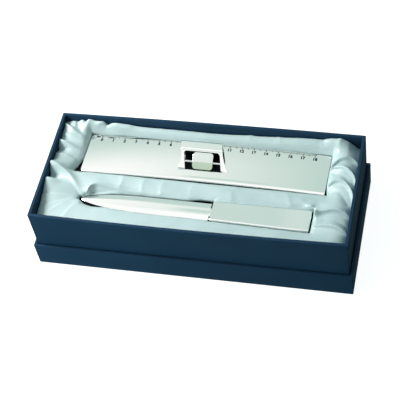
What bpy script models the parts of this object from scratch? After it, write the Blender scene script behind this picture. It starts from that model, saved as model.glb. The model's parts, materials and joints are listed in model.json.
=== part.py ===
"""Boxed desk set: a silver ruler with a grip and a letter opener, in a satin-lined rigid box.

The upturned lid stands on the floor, the tray stands in the lid, and a lift-out fitment in the
tray holds the ruler and the opener. Origin: middle of the lid, on the floor. +X runs along the
box, +Y to its back, +Z up. Lengths below are metres.
"""
import math

import bmesh
import bpy
from mathutils import Matrix, Vector

MM = 0.001
GAP = 0.3 * MM                      # between neighbours that touch

# Rigid box: greyboard covered with paper
PAPER = 0.35 * MM
BOARD = 1.35 * MM
WALL = PAPER + GAP + BOARD
LID_X, LID_Y, LID_H = 129.7 * MM, 56.9 * MM, 23.2 * MM      # half length, half width, height
LID_CLEARANCE = 0.8 * MM
TRAY_X = LID_X - WALL - LID_CLEARANCE
TRAY_Y = LID_Y - WALL - LID_CLEARANCE
RIM_Z = 60.8 * MM
BULGE_FRONT, BULGE_BACK = 1.6 * MM, 0.8 * MM                # long walls bow outwards at the rim
CORNER_R = 0.8 * MM
SIDE_STEPS = 8
HEIGHT_STEPS = 4
CORNER_STEPS = 3

# Levels, from the floor up
LID_PANEL_Z = PAPER + GAP
LID_LINER_Z = LID_PANEL_Z + BOARD + GAP
TRAY_Z = LID_LINER_Z + PAPER + GAP
TRAY_FLOOR_Z = TRAY_Z + PAPER + GAP
INSERT_Z = TRAY_FLOOR_Z + BOARD + GAP
DECK_Z, DECK_T = 38.3 * MM, 2.0 * MM
LEG_T = 1.5 * MM
FOAM_TOP = 44.7 * MM
SATIN_TOP, SATIN_T = 46.0 * MM, 1.0 * MM
INSERT_CLEARANCE = 0.5 * MM
TRAY_INSIDE = WALL + GAP + PAPER                            # from outer face to inner paper
INSERT_X = TRAY_X - TRAY_INSIDE - INSERT_CLEARANCE
INSERT_Y = TRAY_Y - TRAY_INSIDE - INSERT_CLEARANCE

# Ruler: a gently arched plate
RULER_AT = Vector((-0.4 * MM, 23.1 * MM, 0.0))
RULER_TURN = -0.0148
RULER_HALF_X, RULER_HALF_Y, RULER_T = 101.1 * MM, 19.5 * MM, 1.5 * MM
RULER_END_Z = 46.9 * MM
RULER_ARCH = 2.5 * MM
RULER_MID_Z = RULER_END_Z + RULER_ARCH
RULER_STEPS = 20
RULER_ROUND_START, RULER_ROUND_END = 2.6 * MM, 1.2 * MM     # corners at the zero end, corners at the far end

# Grip on the ruler: a sheet that leans back from its foot, turns level, and turns down behind
GRIP_T = 1.2 * MM
GRIP_FOOT_Y = -8.9 * MM
GRIP_FOOT_H = GAP + 0.5 * MM
GRIP_LEAN = math.atan2(3.0, 4.0)
GRIP_TOP_H = 11.0 * MM
GRIP_BACK_Y = 12.6 * MM
GRIP_BEND_R = 4.5 * MM
GRIP_BACK_R = 1.6 * MM
GRIP_HALF_X = 17.25 * MM
GRIP_FLARE = 3.75 * MM              # extra half width at the foot
GRIP_FOOT_X = 1.0 * MM              # the sides rake to the left on their way back
GRIP_RAKE = -0.2
WINDOW_HALF_X = 14.8 * MM
WINDOW_LOW, WINDOW_HIGH = -3.0 * MM, 14.2 * MM              # along the slope: open through the foot
WINDOW_R = 2.4 * MM

# Buckle that turns on a pin across the window
PIN_SLOPE = 5.94 * MM
PIN_R = 0.8 * MM
PIN_HOLE_R = 0.9 * MM
BUCKLE_HALF_X = 8.4 * MM
BUCKLE_X = 0.4 * MM
BUCKLE_UP, BUCKLE_DOWN = 7.8 * MM, 5.9 * MM
BUCKLE_RIDGE, BUCKLE_EDGE, BUCKLE_BACK = 1.9 * MM, 0.5 * MM, 1.5 * MM
BUCKLE_TOE_FROM, BUCKLE_TOE = 1.6 * MM, 0.6 * MM            # the back is planed away to a thin toe
BUCKLE_R = 2.6 * MM

# Letter opener
OPENER_AT = Vector((14.7 * MM, -23.9 * MM, 45.6 * MM))      # where the blade enters the handle
OPENER_TURN = -0.018
BLADE_LENGTH = 108.1 * MM
BLADE_HALF_W, BLADE_T = 8.1 * MM, 1.6 * MM
BLADE_EDGE_T = 1.0 * MM
TIP_LENGTH = 55.0 * MM
BLADE_STEPS = 22
TANG_LENGTH, TANG_HALF_W, TANG_T = 42.0 * MM, 4.0 * MM, 1.2 * MM
HANDLE_LENGTH = 79.0 * MM
HANDLE_HALF_H = 3.0 * MM
HANDLE_HALF_START, HANDLE_HALF_END = 9.1 * MM, 10.1 * MM
SHELL_T = 0.6 * MM
HANDLE_EDGE_R = 1.0 * MM

# Wells in the satin
WELL_MARGIN = 0.8 * MM
BLADE_WELL_HALF = 9.2 * MM


def to_linear(hex_colour):
    """Linear colour of an sRGB hex string."""
    parts = [int(hex_colour[i:i + 2], 16) / 255 for i in (1, 3, 5)]
    return [c / 12.92 if c <= 0.04045 else ((c + 0.055) / 1.055) ** 2.4 for c in parts]


def material(name, hex_colour, roughness, metallic=0.0):
    mat = bpy.data.materials.new(name)
    mat.use_nodes = True
    shader = mat.node_tree.nodes["Principled BSDF"]
    shader.inputs["Base Color"].default_value = (*to_linear(hex_colour), 1.0)
    shader.inputs["Roughness"].default_value = roughness
    shader.inputs["Metallic"].default_value = metallic
    return mat


def add_object(name, bm, mat, smooth_angle=None):
    """Turn a bmesh into a named object with one material."""
    bmesh.ops.recalc_face_normals(bm, faces=bm.faces)
    mesh = bpy.data.meshes.new(name)
    bm.to_mesh(mesh)
    bm.free()
    if mat:
        mesh.materials.append(mat)
    if smooth_angle is not None:
        mesh.shade_smooth()
        mesh.set_sharp_from_angle(angle=smooth_angle)
    obj = bpy.data.objects.new(name, mesh)
    bpy.context.scene.collection.objects.link(obj)
    return obj


def block(us, vs, ws, place):
    """Closed block over three lists of parameters, each corner put where place(u, v, w) says."""
    bm = bmesh.new()
    last = (len(us) - 1, len(vs) - 1, len(ws) - 1)
    corners = {}

    def vert(i, j, k):
        if (i, j, k) not in corners:
            corners[i, j, k] = bm.verts.new(place(us[i], vs[j], ws[k]))
        return corners[i, j, k]

    for axis in range(3):
        a, b = [n for n in range(3) if n != axis]
        for side in (0, last[axis]):
            for p in range(last[a]):
                for q in range(last[b]):
                    quad = []
                    for dp, dq in ((0, 0), (1, 0), (1, 1), (0, 1)):
                        index = [0, 0, 0]
                        index[axis], index[a], index[b] = side, p + dp, q + dq
                        quad.append(vert(*index))
                    bm.faces.new(quad)
    bmesh.ops.recalc_face_normals(bm, faces=bm.faces)
    return bm


def steps(low, high, count):
    """count + 1 evenly spaced values."""
    return [low + (high - low) * i / count for i in range(count + 1)]


def box(low, high):
    return block((low[0], high[0]), (low[1], high[1]), (low[2], high[2]), lambda x, y, z: (x, y, z))


def rounded_outline(half_x, half_y, radius, corner_steps, side_steps=1):
    """Counter-clockwise rounded rectangle, with the same number of points at every size."""
    points = []
    for sx, sy, start in ((1, 1, 0.0), (-1, 1, 90.0), (-1, -1, 180.0), (1, -1, 270.0)):
        cx, cy = sx * (half_x - radius), sy * (half_y - radius)
        arc = []
        for i in range(corner_steps + 1):
            angle = math.radians(start + 90.0 * i / corner_steps)
            arc.append((cx + radius * math.cos(angle), cy + radius * math.sin(angle)))
        points.append(arc)
    outline = []
    for arc, following in zip(points, points[1:] + points[:1]):
        outline += arc
        (x0, y0), (x1, y1) = arc[-1], following[0]
        for i in range(1, side_steps):
            t = i / side_steps
            outline.append((x0 + (x1 - x0) * t, y0 + (y1 - y0) * t))
    return outline


def ring_solid(rings):
    """Closed solid through a loop of rings, each a list of points with the same count."""
    bm = bmesh.new()
    rows = [[bm.verts.new(p) for p in ring] for ring in rings]
    count = len(rows[0])
    for row, following in zip(rows, rows[1:] + rows[:1]):
        for i in range(count):
            j = (i + 1) % count
            bm.faces.new((row[i], row[j], following[j], following[i]))
    return bm


def prism(outline, place, low, high):
    """Closed prism over a flat outline, from low to high along the third parameter."""
    bm = bmesh.new()
    bottom = [bm.verts.new(place(x, y, low)) for x, y in outline]
    top = [bm.verts.new(place(x, y, high)) for x, y in outline]
    bm.faces.new(bottom[::-1])
    bm.faces.new(top)
    for i in range(len(outline)):
        j = (i + 1) % len(outline)
        bm.faces.new((bottom[i], bottom[j], top[j], top[i]))
    bmesh.ops.recalc_face_normals(bm, faces=bm.faces)
    return bm


def cylinder_x(radius, x0, x1, centre, turn, segments):
    """Closed cylinder along a turned X axis, through centre."""
    def place(a, b, x):
        return centre + turn @ Vector((x, a, b))

    outline = [(radius * math.cos(2 * math.pi * i / segments), radius * math.sin(2 * math.pi * i / segments))
               for i in range(segments)]
    return prism(outline, place, x0, x1)


def combine(obj, bm, name, operation):
    """Join a closed bmesh to an object, or cut it out, with a Boolean modifier."""
    tool = add_object(name, bm, None)
    tool.hide_render = True
    tool.display_type = "WIRE"
    modifier = obj.modifiers.new(name, "BOOLEAN")
    modifier.operation = operation
    modifier.solver = "EXACT"
    modifier.object = tool
    return tool


def cut(obj, bm, name):
    return combine(obj, bm, name, "DIFFERENCE")


def place_at(obj, at, turn):
    """Give an object its place: at, turned about Z."""
    obj.location = at
    obj.rotation_euler = (0.0, 0.0, turn)


# ---------------------------------------------------------------- lid

def make_lid(paper, board):
    """Upturned lid: a base board, four wall boards, and covering paper outside and inside."""
    inner = WALL
    top = LID_H
    low_x, low_y = LID_X - PAPER - GAP, LID_Y - PAPER - GAP
    add_object("lid_top_paper", box((-LID_X, -LID_Y, 0), (LID_X, LID_Y, PAPER)), paper)
    add_object("lid_panel", box((-low_x, -low_y, LID_PANEL_Z), (low_x, low_y, LID_PANEL_Z + BOARD)), board)
    wall_low, wall_high = LID_PANEL_Z + BOARD + GAP, top - PAPER - GAP
    for name, side in (("lid_wall_front", -1), ("lid_wall_back", 1)):
        y0, y1 = sorted((side * low_y, side * (LID_Y - inner)))
        add_object(name, box((-low_x, y0, wall_low), (low_x, y1, wall_high)), board)
    short_y = LID_Y - inner - GAP
    for name, side in (("lid_wall_left", -1), ("lid_wall_right", 1)):
        x0, x1 = sorted((side * low_x, side * (LID_X - inner)))
        add_object(name, box((x0, -short_y, wall_low), (x1, short_y, wall_high)), board)

    def ring(inset, z):
        outline = rounded_outline(LID_X - inset, LID_Y - inset, max(CORNER_R - inset, 0.2 * MM), CORNER_STEPS)
        return [(x, y, z) for x, y in outline]

    # outside face, then over the edges of the wall boards
    low = PAPER + GAP
    rings = [ring(0, low), ring(0, top), ring(WALL, top), ring(WALL, top - PAPER),
             ring(PAPER, top - PAPER), ring(PAPER, low)]
    add_object("lid_side_paper", ring_solid(rings), paper)
    liner_x, liner_y = LID_X - inner - GAP, LID_Y - inner - GAP
    add_object("lid_liner", box((-liner_x, -liner_y, LID_LINER_Z), (liner_x, liner_y, LID_LINER_Z + PAPER)), paper)


# ---------------------------------------------------------------- tray

def bulge(x, y, z):
    """Outward bow of the tray's long walls: none at the corners and the base, most at the rim."""
    along = max(0.0, 1.0 - (x / TRAY_X) ** 2)
    up = max(0.0, (z - TRAY_Z) / (RIM_Z - TRAY_Z)) ** 2
    share = along * up * min(1.0, abs(y) / (TRAY_Y - TRAY_INSIDE))
    return -BULGE_FRONT * share if y < 0 else BULGE_BACK * share


def bowed(x, y, z):
    return (x, y + bulge(x, y, z), z)


def make_tray(paper, board):
    """Tray: a floor board, four wall boards, wrap round the walls and a sheet under the base."""
    add_object("tray_base_paper", box((-TRAY_X, -TRAY_Y, TRAY_Z), (TRAY_X, TRAY_Y, TRAY_Z + PAPER)), paper)
    in_x, in_y = TRAY_X - PAPER - GAP, TRAY_Y - PAPER - GAP
    floor_x, floor_y = TRAY_X - TRAY_INSIDE - GAP, TRAY_Y - TRAY_INSIDE - GAP
    add_object("tray_floor", box((-floor_x, -floor_y, TRAY_FLOOR_Z), (floor_x, floor_y, TRAY_FLOOR_Z + BOARD)), board)
    zs = steps(TRAY_FLOOR_Z, RIM_Z - PAPER - GAP, HEIGHT_STEPS)
    xs = steps(-in_x, in_x, SIDE_STEPS)
    for name, side in (("tray_wall_front", -1), ("tray_wall_back", 1)):
        ys = sorted((side * in_y, side * (TRAY_Y - WALL)))
        add_object(name, block(xs, ys, zs, bowed), board)
    short_y = TRAY_Y - WALL - GAP
    for name, side in (("tray_wall_left", -1), ("tray_wall_right", 1)):
        xs_side = sorted((side * in_x, side * (TRAY_X - WALL)))
        add_object(name, box((xs_side[0], -short_y, zs[0]), (xs_side[1], short_y, zs[-1])), board)

    def ring(inset, z):
        radius = max(CORNER_R - inset, 0.2 * MM)
        outline = rounded_outline(TRAY_X - inset, TRAY_Y - inset, radius, CORNER_STEPS, SIDE_STEPS)
        return [bowed(x, y, z) for x, y in outline]

    # up the outside, over the rim, down the inside, and back
    outside = [ring(0, z) for z in steps(TRAY_Z + PAPER + GAP, RIM_Z, HEIGHT_STEPS)]
    inside = [ring(TRAY_INSIDE, z) for z in reversed(steps(TRAY_FLOOR_Z, RIM_Z, HEIGHT_STEPS))]
    inside_back = [ring(TRAY_INSIDE - PAPER, z) for z in steps(TRAY_FLOOR_Z, RIM_Z - PAPER, HEIGHT_STEPS)]
    outside_back = [ring(PAPER, z) for z in reversed(steps(TRAY_Z + PAPER + GAP, RIM_Z - PAPER, HEIGHT_STEPS))]
    add_object("tray_wrap", ring_solid(outside + inside + inside_back + outside_back), paper)


# ---------------------------------------------------------------- fitment

def well_box(at, turn, low, high):
    """Closed box in a turned frame."""
    rotation = Matrix.Rotation(turn, 3, "Z")
    origin = Vector((at[0], at[1], 0.0))

    def place(x, y, z):
        return origin + rotation @ Vector((x, y, 0.0)) + Vector((0, 0, z))

    return block((low[0], high[0]), (low[1], high[1]), (low[2], high[2]), place)


def wells(grow, floor_drop):
    """Low and high corners of the three wells, widened by grow and deepened by floor_drop."""
    ruler_floor = RULER_END_Z - RULER_T - GAP - floor_drop
    blade_floor = OPENER_AT.z - BLADE_T / 2 - GAP - floor_drop
    handle_floor = OPENER_AT.z - HANDLE_HALF_H - GAP - floor_drop
    high = SATIN_TOP + 5 * MM
    ruler_x, ruler_y = RULER_HALF_X + WELL_MARGIN + grow, RULER_HALF_Y + WELL_MARGIN + grow
    blade_y, handle_y = BLADE_WELL_HALF + grow, HANDLE_HALF_END + WELL_MARGIN + grow
    return [
        ("ruler", RULER_AT, RULER_TURN, (-ruler_x, -ruler_y, ruler_floor), (ruler_x, ruler_y, high)),
        ("blade", OPENER_AT, OPENER_TURN, (-BLADE_LENGTH - WELL_MARGIN - grow, -blade_y, blade_floor),
         (5 * MM, blade_y, high)),
        ("handle", OPENER_AT, OPENER_TURN, (-WELL_MARGIN - grow, -handle_y, handle_floor),
         (HANDLE_LENGTH + WELL_MARGIN + grow, handle_y, high)),
    ]


def make_insert(card, foam, satin):
    """Lift-out fitment: a card deck on four legs, a foam pad, and satin with the wells in it."""
    add_object("insert_deck", box((-INSERT_X, -INSERT_Y, DECK_Z), (INSERT_X, INSERT_Y, DECK_Z + DECK_T)), card)
    leg_top = DECK_Z - GAP
    for name, side in (("insert_leg_front", -1), ("insert_leg_back", 1)):
        y0, y1 = sorted((side * INSERT_Y, side * (INSERT_Y - LEG_T)))
        add_object(name, box((-INSERT_X, y0, INSERT_Z), (INSERT_X, y1, leg_top)), card)
    short_y = INSERT_Y - LEG_T - GAP
    for name, side in (("insert_leg_left", -1), ("insert_leg_right", 1)):
        x0, x1 = sorted((side * INSERT_X, side * (INSERT_X - LEG_T)))
        add_object(name, box((x0, -short_y, INSERT_Z), (x1, short_y, leg_top)), card)
    foam_pad = add_object("foam_pad", box((-INSERT_X, -INSERT_Y, DECK_Z + DECK_T + GAP),
                                          (INSERT_X, INSERT_Y, FOAM_TOP)), foam)
    for name, at, turn, low, high in wells(SATIN_T + GAP, SATIN_T + GAP):
        cut(foam_pad, well_box(at, turn, low, high), "foam_cut_" + name)

    # the satin is a skin: full slab and troughs, joined, then the wells are cut from the top
    skin = add_object("satin_lining", box((-INSERT_X, -INSERT_Y, SATIN_TOP - SATIN_T),
                                          (INSERT_X, INSERT_Y, SATIN_TOP)), satin)
    for name, at, turn, low, high in wells(SATIN_T, SATIN_T):
        trough = well_box(at, turn, low, (high[0], high[1], SATIN_TOP - 0.1 * MM))
        combine(skin, trough, "satin_trough_" + name, "UNION")
    for name, at, turn, low, high in wells(0.0, 0.0):
        cut(skin, well_box(at, turn, low, high), "satin_cut_" + name)


# ---------------------------------------------------------------- ruler

def make_ruler_plate(silver):
    """Arched plate, highest at its middle; its corners are rounder at the zero end."""
    def place(x, y, z):
        return (x, y, z + RULER_ARCH * (1.0 - (x / RULER_HALF_X) ** 2))

    bm = block(steps(-RULER_HALF_X, RULER_HALF_X, RULER_STEPS), (-RULER_HALF_Y, RULER_HALF_Y), (-RULER_T, 0), place)
    for side, radius in ((-1, RULER_ROUND_START), (1, RULER_ROUND_END)):
        corners = [e for e in bm.edges if all(side * v.co.x > RULER_HALF_X * 0.999 for v in e.verts)
                   and abs(e.verts[0].co.y - e.verts[1].co.y) < 0.01 * MM]
        bmesh.ops.bevel(bm, geom=corners, offset=radius, segments=4, profile=0.5, affect="EDGES")
    plate = add_object("ruler_plate", bm, silver, math.radians(30))
    place_at(plate, (RULER_AT.x, RULER_AT.y, RULER_END_Z), RULER_TURN)


def grip_path():
    """Stretches of the grip's middle line from its foot: (length, angle that it turns down by)."""
    mid_top = GRIP_TOP_H - GRIP_T / 2
    slope = (mid_top - GRIP_FOOT_H) / math.sin(GRIP_LEAN) - GRIP_BEND_R * math.tan(GRIP_LEAN / 2)
    bend_end = GRIP_FOOT_Y + slope * math.cos(GRIP_LEAN) + GRIP_BEND_R * math.sin(GRIP_LEAN)
    level = GRIP_BACK_Y - GRIP_T / 2 - GRIP_BACK_R - bend_end
    drop = mid_top - GRIP_BACK_R - GRIP_FOOT_H
    quarter = math.pi / 2
    return [(slope, 0.0), (GRIP_BEND_R * GRIP_LEAN, GRIP_LEAN), (level, 0.0), (GRIP_BACK_R * quarter, quarter),
            (drop, 0.0)]


def grip_point(u, s, n):
    """Point on the grip in the ruler's frame: u across, s along the sheet from its foot, n outwards."""
    y, h, angle = GRIP_FOOT_Y, GRIP_FOOT_H, GRIP_LEAN
    for length, turn in GRIP_PATH:
        part = max(0.0, min(s, length))
        s -= length
        if turn == 0.0:
            y += part * math.cos(angle)
            h += part * math.sin(angle)
        else:
            turned = angle - turn * part / length
            y += length / turn * (math.sin(angle) - math.sin(turned))
            h += length / turn * (math.cos(turned) - math.cos(angle))
            angle = turned
    y -= n * math.sin(angle)
    h += n * math.cos(angle)
    x = GRIP_FOOT_X + GRIP_RAKE * (y - GRIP_FOOT_Y) + u
    return Vector((x, y, h))


GRIP_PATH = grip_path()


def grip_half_width(s):
    """Half width of the sheet: straight sides above, flared towards the foot."""
    y = grip_point(0, s, 0).y
    flare = max(0.0, (3 * MM - y) / (3 * MM - GRIP_FOOT_Y))
    return GRIP_HALF_X + GRIP_FLARE * flare ** 2


def in_ruler(point):
    """A point of the ruler's frame, in world space."""
    turned = Matrix.Rotation(RULER_TURN, 3, "Z") @ Vector((point.x, point.y, 0.0))
    return Vector((RULER_AT.x, RULER_AT.y, RULER_MID_Z + point.z)) + turned


def pin_centre():
    point = grip_point(0, PIN_SLOPE, 0)
    return Vector((0.0, point.y, point.z))


def make_grip(silver):
    """Bridge of bent sheet with a rounded window in its slope."""
    stations = [0.0]
    for (length, turn), count in zip(GRIP_PATH, (6, 5, 1, 6, 1)):
        stations += steps(stations[-1], stations[-1] + length, count)[1:]

    def place(t, s, n):
        return in_ruler(grip_point(t * grip_half_width(s), s, n)) - origin

    origin = in_ruler(grip_point(0, 0, 0))
    grip = add_object("ruler_grip", block((-1, 0, 1), stations, (-GRIP_T / 2, GRIP_T / 2), place), silver,
                      math.radians(30))
    grip.location = origin

    middle, half = (WINDOW_LOW + WINDOW_HIGH) / 2, (WINDOW_HIGH - WINDOW_LOW) / 2
    outline = rounded_outline(WINDOW_HALF_X, half, WINDOW_R, 4)

    def place_window(u, v, n):
        flat = grip_point(u, middle + v, 0)
        out = Vector((0, -math.sin(GRIP_LEAN), math.cos(GRIP_LEAN)))
        return in_ruler(flat + out * n)

    cut(grip, prism(outline, place_window, -3 * MM, 3 * MM), "grip_window")


def make_pin(silver):
    """Cross pin between the two legs of the grip."""
    centre = in_ruler(pin_centre())
    turn = Matrix.Rotation(RULER_TURN, 3, "Z")
    reach = WINDOW_HALF_X - GAP
    middle_x = grip_point(0, PIN_SLOPE, 0).x
    bm = cylinder_x(PIN_R, middle_x - reach, middle_x + reach, Vector((0, 0, 0)), turn, 16)
    pin = add_object("buckle_pin", bm, silver, math.radians(40))
    pin.location = centre


def make_buckle(silver):
    """Rounded plaque with two sloping faces that meet in a ridge over the pin."""
    turn = Matrix.Rotation(RULER_TURN, 3, "Z")
    lean = Matrix.Rotation(GRIP_LEAN, 3, "X")

    def place(u, v, n):
        return turn @ (Vector((BUCKLE_X + u, 0, 0)) + lean @ Vector((0, v, n)))

    middle, half = (BUCKLE_UP - BUCKLE_DOWN) / 2, (BUCKLE_UP + BUCKLE_DOWN) / 2
    outline = [(u, v + middle) for u, v in rounded_outline(BUCKLE_HALF_X, half, BUCKLE_R, 4)]
    bm = prism(outline, place, -BUCKLE_BACK, BUCKLE_RIDGE)
    # plane off the upper and the lower face, from the ridge down to the edge, and the back of the toe
    fall, toe_fall = BUCKLE_RIDGE - BUCKLE_EDGE, BUCKLE_BACK - BUCKLE_TOE
    cuts = [((0, BUCKLE_RIDGE), (fall, BUCKLE_UP)), ((0, BUCKLE_RIDGE), (-fall, BUCKLE_DOWN)),
            ((-BUCKLE_TOE_FROM, -BUCKLE_BACK), (-toe_fall, BUCKLE_TOE_FROM - BUCKLE_DOWN))]
    for (v, n), (normal_v, normal_n) in cuts:
        geom = bm.verts[:] + bm.edges[:] + bm.faces[:]
        sliced = bmesh.ops.bisect_plane(bm, geom=geom, plane_co=place(-BUCKLE_X, v, n), clear_outer=True,
                                        plane_no=turn @ lean @ Vector((0, normal_v, normal_n)))
        edges = [e for e in sliced["geom_cut"] if isinstance(e, bmesh.types.BMEdge)]
        bmesh.ops.contextual_create(bm, geom=edges)
    buckle = add_object("grip_buckle", bm, silver, math.radians(25))
    buckle.location = in_ruler(pin_centre())
    hole = cut(buckle, cylinder_x(PIN_HOLE_R, -12 * MM, 12 * MM, Vector((0, 0, 0)), turn, 16), "buckle_hole")
    hole.location = buckle.location


# ---------------------------------------------------------------- letter opener

def blade_half_width(x):
    """Half width of the blade: constant, then drawn to the tip in a sine curve."""
    share = min(1.0, (BLADE_LENGTH + x) / TIP_LENGTH)
    return max(0.25 * MM, BLADE_HALF_W * math.sin(math.pi / 2 * share ** 0.62))


def lens_section(x, half, edge, middle):
    """Points round a section at x whose thickness falls from its middle to its edges in an arc."""
    ys = steps(-half, half, 4)
    top = [(x, y, edge + (middle - edge) * (1 - (y / half) ** 2)) for y in ys]
    return top + [(x, y, -z) for x, y, z in reversed(top)]


def make_blade(silver):
    """Lens-shaped blade, and the tang that the handle's filler holds."""
    bm = bmesh.new()
    stations = [-BLADE_LENGTH + TIP_LENGTH * (i / 12) ** 1.6 for i in range(13)]
    stations += steps(stations[-1], -1.2 * MM, BLADE_STEPS - 12)[1:]
    rows = []
    for x in stations:
        half = blade_half_width(x)
        thick = BLADE_T / 2 * min(1.0, 0.35 + half / BLADE_HALF_W)
        rows.append(lens_section(x, half, BLADE_EDGE_T / 2, thick))
    for x in (-1.2 * MM, TANG_LENGTH):
        rows.append(lens_section(x, TANG_HALF_W, TANG_T / 2, TANG_T / 2))
    verts = [[bm.verts.new(p) for p in row] for row in rows]
    for row, following in zip(verts, verts[1:]):
        count = len(row)
        for i in range(count):
            j = (i + 1) % count
            bm.faces.new((row[i], row[j], following[j], following[i]))
    bm.faces.new(verts[0])
    bm.faces.new(verts[-1])
    blade = add_object("opener_blade", bm, silver, math.radians(12))
    place_at(blade, OPENER_AT, OPENER_TURN)


def handle_outline(inset):
    """Corners of the handle in plan, drawn in by inset."""
    slope = (HANDLE_HALF_END - HANDLE_HALF_START) / HANDLE_LENGTH
    x0, x1 = inset, HANDLE_LENGTH - inset
    y0, y1 = HANDLE_HALF_START + slope * x0 - inset, HANDLE_HALF_START + slope * x1 - inset
    return [(x0, -y0), (x1, -y1), (x1, y1), (x0, y0)]


def straight(x, y, z):
    return (x, y, z)


def make_handle(silver, resin):
    """Two pressed half shells round a cast filler that grips the tang."""
    for name, side in (("opener_handle_top", 1), ("opener_handle_bottom", -1)):
        low, high = sorted((side * GAP / 2, side * HANDLE_HALF_H))
        bm = prism(handle_outline(0), straight, low, high)
        outer = [e for e in bm.edges if any(abs(v.co.z - side * HANDLE_HALF_H) < 1e-7 for v in e.verts)]
        bmesh.ops.bevel(bm, geom=outer, offset=HANDLE_EDGE_R, segments=3, profile=0.5, affect="EDGES")
        shell = add_object(name, bm, silver, math.radians(30))
        place_at(shell, OPENER_AT, OPENER_TURN)
        hollow_low, hollow_high = sorted((-side * 1 * MM, side * (HANDLE_HALF_H - SHELL_T)))
        hollow = cut(shell, prism(handle_outline(SHELL_T), straight, hollow_low, hollow_high), name + "_hollow")
        mouth_half, mouth_z = TANG_HALF_W + GAP, TANG_T / 2 + GAP
        mouth = cut(shell, box((-3 * MM, -mouth_half, -mouth_z), (3 * MM, mouth_half, mouth_z)), name + "_mouth")
        for cutter in (hollow, mouth):
            place_at(cutter, OPENER_AT, OPENER_TURN)
    inset = SHELL_T + GAP
    half = HANDLE_HALF_H - inset
    filler = add_object("opener_filler", prism(handle_outline(inset), straight, -half, half), resin)
    place_at(filler, OPENER_AT, OPENER_TURN)
    slot = cut(filler, box((-3 * MM, -TANG_HALF_W - GAP, -TANG_T / 2 - GAP),
                           (TANG_LENGTH + GAP, TANG_HALF_W + GAP, TANG_T / 2 + GAP)), "filler_slot")
    place_at(slot, OPENER_AT, OPENER_TURN)


def main():
    for obj in list(bpy.data.objects):
        bpy.data.objects.remove(obj, do_unlink=True)
    navy = material("navy_paper", "#1d3448", 0.55)
    board = material("grey_board", "#8b8780", 0.9)
    card = material("white_card", "#e4e2da", 0.85)
    foam = material("charcoal_foam", "#26282a", 0.95)
    satin = material("ice_satin", "#dfeeee", 0.35)
    silver = material("polished_silver", "#e9efe9", 0.06, 1.0)
    resin = material("cast_filler", "#5a564e", 0.8)
    make_lid(navy, board)
    make_tray(navy, board)
    make_insert(card, foam, satin)
    make_ruler_plate(silver)
    make_grip(silver)
    make_pin(silver)
    make_buckle(silver)
    make_blade(silver)
    make_handle(silver, resin)


main()
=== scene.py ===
# %% [markdown]
# # A boxed ruler and letter opener
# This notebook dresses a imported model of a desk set: a silver ruler with a grip and a letter opener,
# bedded in satin, in a navy rigid box that stands in its own upturned lid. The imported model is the
# frame: it fixes every size and place, and each piece made here is laid over one of its parts.

# %% Load the frame
import json
import math

import bmesh
import bpy
import numpy as np
from mathutils import Matrix, Vector


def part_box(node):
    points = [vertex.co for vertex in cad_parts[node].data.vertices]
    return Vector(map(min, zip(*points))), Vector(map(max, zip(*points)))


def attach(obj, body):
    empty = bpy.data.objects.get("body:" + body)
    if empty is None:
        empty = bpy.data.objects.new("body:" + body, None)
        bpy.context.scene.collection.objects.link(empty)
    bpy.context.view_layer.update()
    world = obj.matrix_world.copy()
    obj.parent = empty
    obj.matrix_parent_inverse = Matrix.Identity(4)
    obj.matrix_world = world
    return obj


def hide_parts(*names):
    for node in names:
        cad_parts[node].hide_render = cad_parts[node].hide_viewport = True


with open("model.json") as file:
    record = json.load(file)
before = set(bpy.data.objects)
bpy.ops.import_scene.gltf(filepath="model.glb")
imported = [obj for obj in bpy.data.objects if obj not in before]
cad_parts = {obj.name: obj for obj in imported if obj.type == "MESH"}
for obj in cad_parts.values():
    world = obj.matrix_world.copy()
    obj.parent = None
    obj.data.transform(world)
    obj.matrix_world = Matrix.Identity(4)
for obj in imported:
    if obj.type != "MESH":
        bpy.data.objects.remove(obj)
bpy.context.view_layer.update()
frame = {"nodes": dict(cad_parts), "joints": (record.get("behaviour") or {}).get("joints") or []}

MM = 0.001

# %% [markdown]
# ## Small helpers
# Colours are picked as sRGB hex values, the way a swatch is read, and turned into the linear values
# that a shader works in. One helper adds a shader node with its settings and its links.

# %% Helpers for colours and shader nodes
def linear(hex_colour):
    """Linear RGBA of an sRGB hex colour."""
    parts = [int(hex_colour[i:i + 2], 16) / 255 for i in (1, 3, 5)]
    return tuple(c / 12.92 if c <= 0.04045 else ((c + 0.055) / 1.055) ** 2.4 for c in parts) + (1.0,)


def add_node(mat, kind, settings=None, inputs=None):
    """Add a node; an input is either a value or another node's output socket."""
    made = mat.node_tree.nodes.new(kind)
    for key, value in (settings or {}).items():
        setattr(made, key, value)
    for key, value in (inputs or {}).items():
        if isinstance(value, bpy.types.NodeSocket):
            mat.node_tree.links.new(value, made.inputs[key])
        else:
            made.inputs[key].default_value = value
    return made


def new_material(name, **sockets):
    """A material and its Principled shader, with constant values set on the shader itself."""
    mat = bpy.data.materials.new(name)
    mat.use_nodes = True
    shader = mat.node_tree.nodes["Principled BSDF"]
    for key, value in sockets.items():
        shader.inputs[key.replace("_", " ")].default_value = value
    return mat, shader


def dress(obj, mat):
    """Give an object one material on every face."""
    obj.data.materials.clear()
    obj.data.materials.append(mat)


# %% [markdown]
# ## Helpers for modelling
# The modelling operators act on whatever is selected, so each step starts by selecting one object.
# In edit mode, faces and edges are picked by where they are, which is what a hand does with a mouse.

# %% Helpers for edit mode
def only(obj):
    """Select one object and make it active."""
    bpy.ops.object.select_all(action="DESELECT")
    obj.select_set(True)
    bpy.context.view_layer.objects.active = obj
    return obj


def edit(obj, mode="FACE"):
    """Open an object in edit mode with nothing selected."""
    only(obj)
    bpy.ops.object.mode_set(mode="EDIT")
    bpy.ops.mesh.select_mode(type=mode)
    bpy.ops.mesh.select_all(action="DESELECT")


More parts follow.
